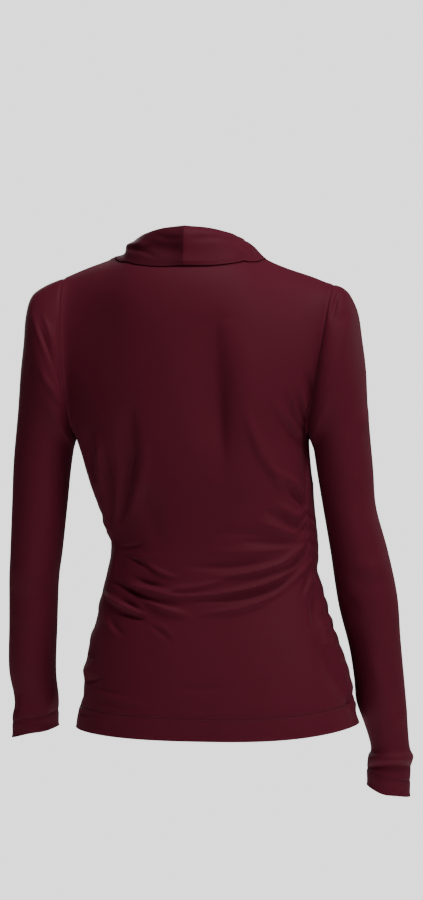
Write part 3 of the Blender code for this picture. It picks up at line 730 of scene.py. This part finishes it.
# Seen from behind: ridges have a positive lift, and troughs a negative one.
BACK_CREASES = metres(
    # folds that fan out upwards from the notch at the waist on the left
    (-133, -217, -126, -254, -116, -291, 5, 5, -3.1),
    (-118, -223, -116, -264, -115, -304, 5, 5, 3.3),
    (-110, -242, -105, -285, -99, -347, 4, 4, -4.4),
    (-94, -246, -92, -285, -95, -337, 5, 5, 2.4),
    (-70, -233, -77, -283, -91, -342, 5, 5, -4.4),
    (-58, -236, -63, -285, -79, -335, 8, 7, 2.6),
    (-66, -283, -51, -329, -35, -374, 12, 10, -2.2),
    (-91, -361, -95, -388, -101, -415, 5, 5, 2.4),
    # drag lines from the gathers on the left, across the waist
    (-90, -368, -74, -368, -55, -363, 2.5, 3, -2.6),
    (-80, -379, -60, -381, -38, -379, 3, 3, 2.2),
    (-85, -378, -65, -387, -42, -402, 3, 3, -3.1),
    (-66, -383, -42, -398, -14, -408, 3, 3, 3.1),
    (-76, -403, -45, -417, -14, -419, 3, 3, -3.3),
    (-86, -413, -51, -423, -12, -430, 3, 3, 4),
    (-101, -410, -79, -420, -49, -433, 3.5, 3, -4),
    (-81, -418, -53, -433, -9, -444, 3, 3, -2.9),
    (-112, -423, -89, -439, -54, -455, 3.5, 3, 5.7),
    (-92, -433, -76, -440, -59, -449, 2.5, 2.5, -3.1),
    (-91, -448, -75, -454, -55, -460, 3, 3, -3.7),
    (-102, -454, -95, -467, -80, -481, 3.5, 3.5, -2.2),
    (-110, -448, -102, -465, -92, -481, 3.5, 3.5, 2),
    (-54, -464, -38, -474, -25, -489, 2.5, 2.5, -1.5),
    (-58, -459, -35, -469, -20, -485, 3, 3, 1.3),
    # the lower left seam
    (-141, -518, -128, -520, -113, -523, 5, 5, 1.9),
    (-133, -533, -123, -534, -107, -529, 3, 3, -2.4),
    (-132, -505, -125, -505, -115, -508, 3, 3, -1.8),
    (-121, -548, -96, -556, -54, -568, 4, 4, 1.5),
    (-123, -541, -108, -546, -81, -554, 3.5, 3.5, -1.3),
    (-143, -574, -133, -577, -122, -579, 2.5, 2.5, -1.8),
    # folds from the armhole and the gathers on the right
    (107, -275, 127, -290, 144, -315, 4, 4, 3.5),
    (115, -285, 133, -306, 148, -327, 4, 4, -4.4),
    (102, -315, 126, -327, 142, -341, 5, 5, 3.5),
    (105, -326, 130, -337, 144, -348, 4, 4, -3.3),
    (144, -363, 130, -373, 102, -394, 3, 3, 3.5),
    (144, -372, 132, -387, 110, -403, 3, 3, -3.5),
    (149, -381, 135, -401, 105, -424, 3.5, 3.5, 3.3),
    (148, -398, 142, -417, 135, -429, 3, 3, -3.1),
    (153, -391, 149, -409, 142, -428, 2.5, 2.5, 2.4),
    (152, -438, 156, -455, 153, -474, 3.5, 3.5, -2.4),
    (150, -412, 158, -449, 165, -490, 5, 10, -6),
    (160, -478, 177, -520, 200, -566, 5, 11, -7.2),
    (193, -554, 200, -568, 205, -582, 4, 4, -2.2),
    # drag lines from the gathers on the right, across the waist
    (140, -366, 100, -363, 50, -361, 5, 5, -4),
    (141, -370, 90, -396, 20, -406, 4, 2.8, 4.8),
    (104, -383, 45, -393, -12, -391, 5, 4, -3.1),
    (140, -384, 80, -418, -10, -430, 4.2, 2.8, 5.6),
    (136, -400, 70, -428, -8, -434, 5, 4, -3.1),
    (126, -414, 70, -442, 4, -452, 4.2, 3, 4.6),
    (-90, -411, -20, -421, 55, -404, 4, 3.5, 4),
    (-62, -426, -25, -430, 30, -428, 4, 3.5, 3.5),
    (-64, -430, -36, -445, 2, -455, 5, 3.5, 4.8),
    # drag lines above the waist on the right
    (60, -198, 88, -258, 136, -308, 12, 10, 4.4),
    (98, -186, 122, -214, 142, -238, 5, 4.5, 3.1),
    (126, -160, 138, -184, 146, -200, 3.5, 3.5, 2.6),
    (70, -200, 78, -229, 85, -248, 4.5, 4.5, 1.8),
    # folds that fan out from the right gathers: upwards, and level across the back
    (104, -279, 121, -300, 141, -318, 4.5, 4, -3.4),
    (92, -262, 112, -290, 140, -330, 5, 5, 2.6),
    (88, -322, 113, -334, 142, -352, 5, 4.5, -3.4),
    (76, -334, 106, -345, 141, -358, 5, 4.5, 2.6),
    (30, -352, 85, -353, 138, -361, 4.5, 4, -2.6),
    (20, -372, 75, -374, 138, -364, 4.5, 4, 2.2),
    (132, -172, 137, -195, 145, -214, 3, 3.5, -4),
    (118, -176, 128, -203, 143, -226, 3.5, 4, -4),
    (109, -196, 122, -222, 142, -246, 4, 4, -3.4),
    # short puckers along the lower right seam
    (163, -467, 167.5, -462.5, 172, -458, 2.5, 2.5, 1.8),
    (168, -474, 171, -470, 174, -466, 2.2, 2.2, 1.4),
    (168, -492, 170.5, -486.5, 172.5, -481, 2.5, 2.5, 1.8),
    (185, -495, 188.5, -501.5, 192, -508, 2.5, 2.5, 1.8),
    (189, -511, 193, -518, 197, -525, 2.5, 2.5, 1.8),
    (200, -548, 202.5, -553, 205, -558, 2.5, 2.5, 1.8),
    # beside the armholes
    (-118, -50, -115, -120, -110, -200, 45, 35, -5),
    (143, -150, 146, -168, 152, -190, 3, 3, -3),
    # long soft folds down the middle and the left of the back
    (29, -70, 31, -175, 40, -290, 14, 30, -8.5),
    (36, -170, 37, -215, 42, -262, 6, 12, -2.2),
    (-75, -190, -79, -262, -89, -338, 15, 8, -5.8),
    (60, -198, 83, -262, 128, -312, 5, 6, -3),
    (146, -186, 143, -248, 146, -347, 6, 6, -3.6),
    (66, -100, 68, -180, 76, -250, 18, 18, 3.5),
    # faint lines above the hem
    (-30, -543, 10, -545, 60, -541, 4, 4, -1.3),
)
back_grid = sewn_panel("back", "behind", BACK_CREASES)

# ---- The front ---------------------------------------------------------------------------------------
# One panel of the same jersey with a deep V neck, sewn to the back at the shoulders and the gathered sides.
# The photo doesn't show it, so its folds answer those of the back.
FRONT_CREASES = metres(
    # from the gathers on the wearer's right, across the waist
    (-146, -352, -110, -352, -60, -346, 4.5, 4, -3),
    (-148, -362, -100, -372, -40, -374, 4.5, 4, 4.4),
    (-148, -372, -105, -388, -50, -394, 4.5, 4, -4),
    (-150, -386, -110, -406, -30, -414, 5, 4, 5),
    (-152, -398, -120, -420, -50, -432, 4.5, 4, -3.6),
    (-155, -412, -130, -438, -75, -454, 4.5, 4, 4),
    (-160, -426, -140, -456, -100, -478, 5, 4.5, -3.4),
    (-146, -335, -120, -322, -90, -300, 5, 4.5, -3.4),
    (-146, -325, -118, -304, -92, -276, 4.5, 4.5, 3),
    (-146, -312, -124, -288, -105, -255, 4.5, 4.5, -3),
    # from the gathers on the wearer's left
    (112, -368, 86, -374, 50, -380, 3.5, 3, -3),
    (110, -382, 80, -394, 40, -402, 3.5, 3, 3.4),
    (112, -398, 84, -412, 45, -424, 3.5, 3, -3.6),
    (118, -416, 90, -434, 50, -448, 4, 3.5, 4.6),
    (122, -436, 98, -452, 66, -466, 4, 3.5, -3.4),
    (108, -350, 96, -322, 84, -286, 4.5, 4.5, -3.4),
    (104, -345, 86, -312, 70, -272, 5, 5, 3),
    # long soft folds, and the slack under the V
    (-125, -412, -30, -440, 70, -424, 6, 5, 3.6),
    (95, -430, 50, -456, -20, -460, 6, 5, 3),
    (-110, -205, -98, -262, -108, -320, 13, 13, 3.3),
    (108, -205, 94, -262, 92, -320, 13, 13, 3.3),
    (-20, -215, -8, -262, 12, -305, 12, 12, -4),
    (34, -225, 24, -268, 30, -310, 10, 10, 3),
    # the lower seams
    (-190, -500, -172, -512, -150, -518, 4, 4, 2.4),
    (-196, -524, -180, -534, -160, -540, 4, 4, -2.4),
    (146, -500, 132, -508, 114, -512, 4, 4, 2),
    (150, -530, 136, -536, 118, -538, 4, 4, -2),
)
front_grid = sewn_panel("front", "front", FRONT_CREASES)

# ---- The sleeves -------------------------------------------------------------------------------------
# Two long set-in sleeves of the same jersey, each one piece closed along the inner arm and sewn into its
# armhole. They narrow to the wrist, where the right one has slipped down into a fold over its hem.
SLEEVE_COLUMNS = ("inner_x", "inner_z", "outer_x", "outer_z", "half_depth", "centre_y")
SLEEVE_LEFT = metres(
    (145, -232, 161, -34, 62, 0),
    (145.6, -233.5, 184, -43, 63, 0),
    (146.2, -235.2, 200.5, -55.5, 62, 0),
    (146.8, -237, 207.5, -79, 60, 0),
    (147.5, -239.5, 210.5, -113, 56, 0),
    (148.6, -243, 215, -150, 50, -1),
    (150.2, -250, 219, -200, 44, -2),
    (154, -276, 225, -260, 40, -4),
    (158.4, -315, 227.8, -310, 38, -7),
    (165.5, -372, 231.2, -372, 37, -12),
    (171.6, -410, 234, -410, 36, -18),
    (175.4, -465, 236.2, -465, 34, -27),
    (179, -525, 238.5, -525, 32, -36),
    (176.8, -560, 231.8, -566, 29, -42),
    (177.5, -578, 234.5, -586, 30, -45),
    (178.5, -596, 236.5, -613, 31, -48),
)
SLEEVE_RIGHT = metres(
    (145, -232, 177, -41.3, 62, 0),
    (146, -233.5, 188, -47.5, 63, 0),
    (147.2, -235.2, 197.5, -58, 62, 0),
    (148.3, -237, 207, -80, 60, 0),
    (149.4, -239.5, 212, -113, 56, 0),
    (150.5, -243, 216.5, -150, 50, -1),
    (152.5, -250, 219, -200, 44, -2),
    (156.8, -280, 225, -270, 40, -4),
    (163.2, -320, 228.5, -318, 39, -8),
    (171.5, -372, 242.5, -372, 40, -14),
    (179.7, -428, 253.8, -428, 40, -20),
    (193, -484, 257.5, -484, 37, -28),
    (203.3, -558, 263.3, -558, 33, -40),
    (218.5, -614, 267, -614, 28, -47),
    (215.5, -629, 271.8, -629, 32, -48),
    (214, -644, 268.8, -644, 29, -49),
    (214.5, -664, 267, -679, 29, -51),
)
ARMHOLE_REACH = 0.25
SLEEVE_RINGS = 230
SLEEVE_STEPS = 144
CUFF_DEEP = 0.020


def sleeve_form(rows, along, turn):
    """A sleeve hanging free, at a share of its length and an angle from the inner arm round by the back."""
    at = along * (len(rows) - 1)
    size = {name: from_table(SLEEVE_COLUMNS, rows, name, at) for name in SLEEVE_COLUMNS}
    level = 0 * along * turn
    inner = np.stack([size["inner_x"] + level, level, size["inner_z"] + level], -1)
    outer = np.stack([size["outer_x"] + level, level, size["outer_z"] + level], -1)
    deep = np.stack([level, size["centre_y"] + size["half_depth"] * np.sin(turn), level], -1)
    return (inner + outer) / 2 - (outer - inner) / 2 * np.cos(turn + level)[..., None] + deep


def armhole_edge(is_left, turn):
    """The edge that the panels leave for the sleeve."""
    share = (1 - np.cos(turn)) / 2
    tip = shoulder_height(is_left, TIP_LEFT if is_left else TIP_RIGHT)
    depth = np.where(np.sin(turn) >= 0, HOLE_BACK, HOLE_FRONT) * (1 - tip / ARMPIT)
    return np.stack([armhole_x(is_left, share), depth * np.sin(turn), ARMPIT + (tip - ARMPIT) * share], -1)


def sleeve_grid(is_left, rows):
    """The sleeve's form as a fine grid of rings from the cuff up, counter-clockwise from above."""
    along = np.linspace(1, 0, SLEEVE_RINGS + 1)[:, None]
    turn = np.linspace(0, 2 * np.pi, SLEEVE_STEPS + 1)[None, :]
    turn = turn[:, ::-1] if is_left else turn
    near = np.maximum(0, 1 - along / ARMHOLE_REACH) ** 2
    sewn_on = armhole_edge(is_left, turn) - sleeve_form(rows, 0 * along[:1], turn)
    grid = sleeve_form(rows, along, turn) + sewn_on * near[..., None]
    return grid * (1 if is_left else -1, 1, 1)


def run_up(grid):
    """How far each point is from the first row, measured along its column."""
    steps = np.linalg.norm(np.diff(grid, axis=0), axis=-1)
    return np.concatenate([np.zeros((1, grid.shape[1])), np.cumsum(steps, axis=0)])


def shaped_sleeve(is_left, rows, fold_groups):
    """The sleeve with its folds, its turned hem and the rounded edge of the armhole seam."""
    grid = sleeve_grid(is_left, rows)
    normals = grid_normals(grid, is_tube=True)
    shaped = grid.copy()
    up = run_up(grid)
    to_seam = up[-1:] - up
    moving = 1 - bell(to_seam, SEAM_STILL)
    for view, creases in fold_groups:
        shaped += normals * (crease_lift(grid, normals, creases, view) * moving)[..., None]
    shaped -= normals * (ARMHOLE_SINK * bell(to_seam, SEAM_ROUND))[..., None]
    return sink_hem(nudged(shaped), normals, up, CUFF_DEEP)


LEFT_SLEEVE_CREASES = metres(
    # the fold beside the armhole seam, and the lines that run into it
    (-164.5, -60, -163.5, -126, -160, -190, 3.5, 5, -5),
    (-161, -171, -154, -201, -143, -236, 4, 5, -3.1),
    (-200, -72, -183, -119, -161, -161, 5, 4, 2.7),
    (-191, -90, -178, -125, -161, -168, 3, 3.5, -3.4),
    (-186, -78, -173, -110, -164, -140, 3.5, 3.5, 2.2),
    (-188, -149, -175, -172, -156, -201, 4, 4, 2.4),
    (-190, -159, -178, -179, -161, -203, 5, 4, -1.5),
    # the elbow
    (-225, -392, -197, -402, -163, -394, 14, 16, 2.7),
    (-228, -422, -195, -434, -166, -424, 12, 14, -2.4),
    (-220, -449, -200, -456, -171, -441, 8, 9, 1.4),
    # above the wrist
    (-223, -546, -210, -564, -193, -578, 6, 5, 1.5),
    (-166, -538, -175, -560, -183, -585, 5, 5, 2),
    (-213, -585, -190, -593, -168, -585, 5, 4, 1.2),
    (-208, -546, -213, -573, -218, -595, 5, 5, 1.2),
)
# Seen from the front, on the side that the photo hides
LEFT_SLEEVE_HIDDEN = metres(
    (205, -85, 185, -130, 160, -170, 6, 6, 2.3),
    (198, -140, 180, -175, 158, -205, 6, 6, 1.8),
    (172, -370, 198, -384, 226, -380, 7, 7, -2.9),
    (172, -392, 200, -400, 228, -402, 7, 7, 3.1),
    (176, -418, 202, -420, 228, -428, 7, 7, -2.3),
    (182, -540, 200, -556, 222, -562, 6, 6, 1.3),
)
RIGHT_SLEEVE_CREASES = metres(
    (182.5, -49, 178.5, -66, 173, -88, 4, 4, -3.2),
    (175, -94, 185, -86, 199, -77, 7, 7, -1.4),
    (206, -236, 214, -211, 226, -191, 5, 5, 2.2),
    (199, -273, 206, -288, 214, -303, 6, 6, 1.1),
    # the elbow
    (192, -402, 216, -413, 249, -407, 9, 10, -2.3),
    (199, -384, 224, -394, 246, -379, 10, 10, 2.2),
    (184, -422, 197, -439, 211, -449, 7, 8, -1.8),
    (189, -459, 204, -484, 216, -518, 10, 10, -1.4),
    # the forearm and the wrist
    (216, -496, 234, -536, 249, -578, 9, 12, 2.7),
    (214, -558, 224, -583, 226, -613, 7, 7, -2.2),
    (239, -565, 251, -590, 256, -618, 7, 7, 1.4),
    (268, -563, 259, -580, 246, -593, 5, 5, 1.6),
    (213, -632, 246, -630, 280, -629, 5, 5, 2.3),
    (208, -641, 246, -641, 284, -640, 3, 3, -3.6),
    (216, -652, 246, -657, 276, -652, 6, 6, 0.9),
)
RIGHT_SLEEVE_HIDDEN = metres(
    (-208, -90, -188, -132, -164, -172, 6, 6, 2.3),
    (-202, -145, -184, -178, -162, -206, 6, 6, 1.8),
    (-178, -372, -206, -384, -238, -382, 7, 7, -2.9),
    (-182, -396, -210, -402, -242, -406, 7, 7, 3.1),
    (-188, -420, -214, -424, -244, -432, 7, 7, -2.3),
    (-212, -632, -244, -630, -276, -631, 5, 5, 1.7),
    (-208, -642, -244, -643, -280, -641, 3, 3, -2.3),
)
for hand, rows, seen, hidden in (
    ("left", SLEEVE_LEFT, LEFT_SLEEVE_CREASES, LEFT_SLEEVE_HIDDEN),
    ("right", SLEEVE_RIGHT, RIGHT_SLEEVE_CREASES, RIGHT_SLEEVE_HIDDEN),
):
    grid = shaped_sleeve(hand == "left", rows, (("behind", seen), ("front", hidden)))
    sleeve = cloth_from_grid(hand + "_sleeve", grid, is_tube=True)
    cuff_rows = twin_rows(hand + "_cuff", grid, run_up(grid), CUFF_DEEP, is_tube=True)
    finish_piece(sleeve, "sleeve_" + hand, cuff_rows)

# ---- The collar --------------------------------------------------------------------------------------
# Two mirrored halves joined at the centre back, each one length of doubled jersey sewn to the neck edge,
# rolled over on itself and lying on the shoulders down to the foot of the V.
COLLAR_COLUMNS = ("foot_across", "edge_x", "edge_drop", "roll_up", "roll_forward", "roll_in")
COLLAR_BACK = (
    (0.0, 0.0, 0.0212, 0.0352, 0.0, -0.001),
    (0.111, 0.033, 0.0206, 0.0318, 0.0, 0.001),
    (0.222, 0.061, 0.0164, 0.0243, 0.0, 0.004),
    (0.333, 0.079, 0.0106, 0.0166, 0.0, 0.009),
    (0.4, 0.088, 0.0054, 0.0128, 0.0, 0.01),
    (0.444, 0.092, 0.0, 0.0105, 0.0, 0.011),
)
COLLAR_FRONT = (
    (0.444, 0.092, 0.0, 0.0105, 0.0, 0.011),
    (0.39, 0.097, 0.008, 0.01, 0.004, 0.008),
    (0.333, 0.1, 0.022, 0.0075, 0.01, 0.005),
    (0.26, 0.098, 0.055, 0.004, 0.012, 0.003),
    (0.18, 0.081, 0.097, 0.002, 0.013, 0.002),
    (0.1, 0.055, 0.1387, 0.0, 0.013, 0.001),
    (0.05, 0.031, 0.166, 0.0, 0.012, 0.001),
    (0.018, 0.011, 0.182, 0.0, 0.011, 0.0),
)
COLLAR_FOOT_IN = 0.0022
COLLAR_ROLL = 0.0030
COLLAR_ROLL_HEIGHT = 0.0024
COLLAR_LEAF = ((0.35, 0.0050), (0.70, 0.0033), (1.00, 0.0020))
COLLAR_AT_EDGE, COLLAR_AT_ROLL = 0.0015, 0.0040
COLLAR_LAID, LAID_EASE = 0.45, 6
COLLAR_THICK, COLLAR_ROUNDING = 0.0011, 0.0004
LEAST_X = 0.0005
COLLAR_STEPS = 168
COLLAR_ROUND = 56
SHOULDER_FROM, SHOULDER_TO, SHOULDER_EASE = 3.0, 7.2, 60
SEARCH_STEPS = 26
NORMAL_STEP = 0.01


def yoke_at(side, x, z):
    """The place on a panel's yoke that is seen at x and z from behind or before."""
    turn = np.sign(x) * (-1 if side == "back" else 1)
    low, high = np.zeros(x.shape), np.ones(x.shape)
    for _ in range(SEARCH_STEPS):
        middle = (low + high) / 2
        across = turn * middle
        share = np.minimum(1, (z - ARMPIT) / (top_edge(side, across)[..., 2] - ARMPIT))
        short = np.abs(yoke_form(side, across, share)[..., 0]) < np.abs(x)
        low = np.where(short, middle, low)
        high = np.where(short, high, middle)
    return across, share


def yoke_normal(side, across, share):
    here = yoke_form(side, across, share - NORMAL_STEP)
    up = yoke_form(side, across, share) - here
    sideways = yoke_form(side, across + NORMAL_STEP, share - NORMAL_STEP) - here
    return unit(np.cross(sideways, up))


def collar_lengthways(hand, side, rows, at):
    """The collar's points from its sewn foot over the roll to its free edge, at places along it."""
    size = {name: from_table(COLLAR_COLUMNS, rows, name, at) for name in COLLAR_COLUMNS[1:]}
    foot_across = np.interp(at, np.arange(len(rows)), [row[0] for row in rows])
    sewn = top_edge(side, foot_across * hand * (-1 if side == "back" else 1))
    leaf = []
    for way, height in COLLAR_LEAF:
        x = np.maximum(np.abs(sewn[:, 0]) * (1 - way) + size["edge_x"] * way, LEAST_X)
        drop = -sewn[:, 2] * (1 - way) + size["edge_drop"] * way
        across, share = yoke_at(side, hand * x, shoulder_height(hand > 0, x) - drop)
        leaf.append(yoke_form(side, across, share) + yoke_normal(side, across, share) * height)
    out = unit((leaf[-1] - sewn) * (1, 1, 0))
    level = 0 * at
    roll = sewn + np.stack([level, -size["roll_forward"], size["roll_up"]], -1) - out * size["roll_in"][:, None]
    foot = sewn - out * COLLAR_FOOT_IN - (0, 0, CLOTH_THICK / 2)
    inside = (sewn + roll) / 2 - out * COLLAR_ROLL
    over = [roll - out * COLLAR_ROLL, roll + (0, 0, COLLAR_ROLL_HEIGHT), roll + out * COLLAR_ROLL]
    return np.stack([foot, inside, *over, *leaf])


def collar_grid(hand):
    """One half of the collar as a fine grid, lengthways from the centre back to the foot of the V."""
    back, front = len(COLLAR_BACK) - 1, len(COLLAR_FRONT) - 1
    at = np.linspace(0, back + front, COLLAR_STEPS + 1)
    behind = collar_lengthways(hand, "back", COLLAR_BACK, at[at <= back])
    before = collar_lengthways(hand, "front", COLLAR_FRONT, at[at > back] - back)
    coarse = np.concatenate([behind, before], axis=1)
    gaps = np.linalg.norm(np.diff(coarse, axis=0), axis=-1).mean(1)
    knots = np.concatenate([[0], np.cumsum(gaps)])
    fine = np.linspace(0, knots[-1], COLLAR_ROUND + 1)
    rings = [[smooth_curve(knots, ring[:, axis], fine) for axis in range(3)] for ring in coarse.swapaxes(0, 1)]
    grid = np.array(rings).transpose(2, 0, 1)
    eased = np.flatnonzero((at > SHOULDER_FROM) & (at < SHOULDER_TO))
    first, last = eased[0], eased[-1] + 1
    for _ in range(SHOULDER_EASE):
        beside = grid[:, first - 1 : last - 1] + grid[:, first + 1 : last + 1]
        grid[:, first:last] = (grid[:, first:last] + beside / 2) / 2
    grid[..., 0] = hand * np.maximum(hand * grid[..., 0], SEAM_REST)
    grid[:, 0, 0] = hand * SEAM_REST
    return grid[::-1, ::-1] if hand > 0 else grid[::-1]


def as_tree(*grids):
    """The outer sides of some cloths, to find the nearest place on them."""
    points, faces = [], []
    for grid in grids:
        rows, columns = grid.shape[:2]
        corner = len(points) + (np.arange(rows - 1)[:, None] * columns + np.arange(columns - 1)).ravel()
        points += grid.reshape(-1, 3).tolist()
        faces += np.stack([corner, corner + 1, corner + columns + 1, corner + columns], -1).tolist()
    return BVHTree.FromPolygons(points, faces)


def laid_on(tree, grid):
    """The leaf let down until it lies on the shoulders, closest at its free edge."""
    share = np.linspace(0, 1, len(grid)) / COLLAR_LAID
    moves = np.zeros(grid.shape)
    for row in np.flatnonzero(share < 1):
        height = COLLAR_AT_EDGE + (COLLAR_AT_ROLL - COLLAR_AT_EDGE) * share[row]
        for column, point in enumerate(grid[row]):
            place, normal = tree.find_nearest(Vector(point))[:2]
            up = (Vector(point) - place).dot(normal)
            moves[row, column] = np.array(normal) * (height - up) * (1 - share[row] ** 2)
    for _ in range(LAID_EASE):
        moves[:, 1:-1] = (2 * moves[:, 1:-1] + moves[:, :-2] + moves[:, 2:]) / 4
        moves[1:-1] = (2 * moves[1:-1] + moves[:-2] + moves[2:]) / 4
    return grid + moves


COLLAR_CREASES = metres(
    # under the rolled top, and the slack on both sides of the centre seam
    (-50, 20, -28, 15, -6, 13.5, 3, 4, -1.9),
    (-7, 13.5, 14, 14.5, 40, 17, 3, 4, -1.5),
    (-66, 6, -34, 3, -8, -2, 9, 9, -4),
    (-84, 0, -62, -1, -40, -12, 3, 3, -1.8),
    (-82, 6, -66, 7, -46, 8, 3, 3, 1.8),
    (18, 15, 36, 12, 58, -3, 3, 4, -1.6),
    (50, 16, 64, 4, 76, -10, 3, 4, -1.6),
    (30, 10, 52, 4, 70, -10, 4, 3, 1.4),
)
COLLAR_HIDDEN = metres(
    (86, -45, 70, -85, 45, -125, 6, 6, 1.2),
    (-86, -50, -68, -90, -43, -130, 6, 6, 1.2),
)
CENTRE_RIDGE, RIDGE_LEFT, RIDGE_RIGHT = 0.0034, 0.012, 0.060
RIDGE_AT_EDGE, RIDGE_FULL = 0.35, 0.15
RIDGE_ENDS, RIDGE_FADE = 0.62, 0.1
HALVES_REST = 0.00004
# The left half's jersey colour is darkened: painted shade, for the way that half turns away from the light
LEFT_COLLAR_PAINTED_SHADE = 0.72


def centre_ridge(grid, hand):
    """The halves meet in a soft ridge, from which the left one falls away more steeply."""
    away = np.abs(grid[..., 0]) / (RIDGE_LEFT if hand > 0 else RIDGE_RIGHT)
    share = np.linspace(0, 1, len(grid))[:, None]
    rise = RIDGE_AT_EDGE + (1 - RIDGE_AT_EDGE) * np.clip(share / RIDGE_FULL, 0, 1)
    return CENTRE_RIDGE * np.exp(-away) * rise * np.clip((RIDGE_ENDS - share) / RIDGE_FADE, 0, 1)


shoulders = as_tree(back_grid, front_grid)
for name, hand in (("left", 1), ("right", -1)):
    # The left half gets its darker jersey colour here: painted shade
    centre, tone = (-1, LEFT_COLLAR_PAINTED_SHADE) if hand > 0 else (0, 1.0)
    grid = laid_on(shoulders, collar_grid(hand))
    grid[:, centre, 0] = hand * SEAM_REST
    normals = grid_normals(grid)
    lift = crease_lift(grid, normals, COLLAR_CREASES, "behind")
    lift = lift + crease_lift(grid, normals, COLLAR_HIDDEN, "front")
    grid = nudged(grid + normals * (lift + centre_ridge(grid, hand))[..., None])
    grid[:, centre, 0] = hand * HALVES_REST
    collar = cloth_from_grid(name + "_collar", grid, thick=COLLAR_THICK, rounding=COLLAR_ROUNDING)
    finish_piece(collar, "collar_" + name, tone=tone)
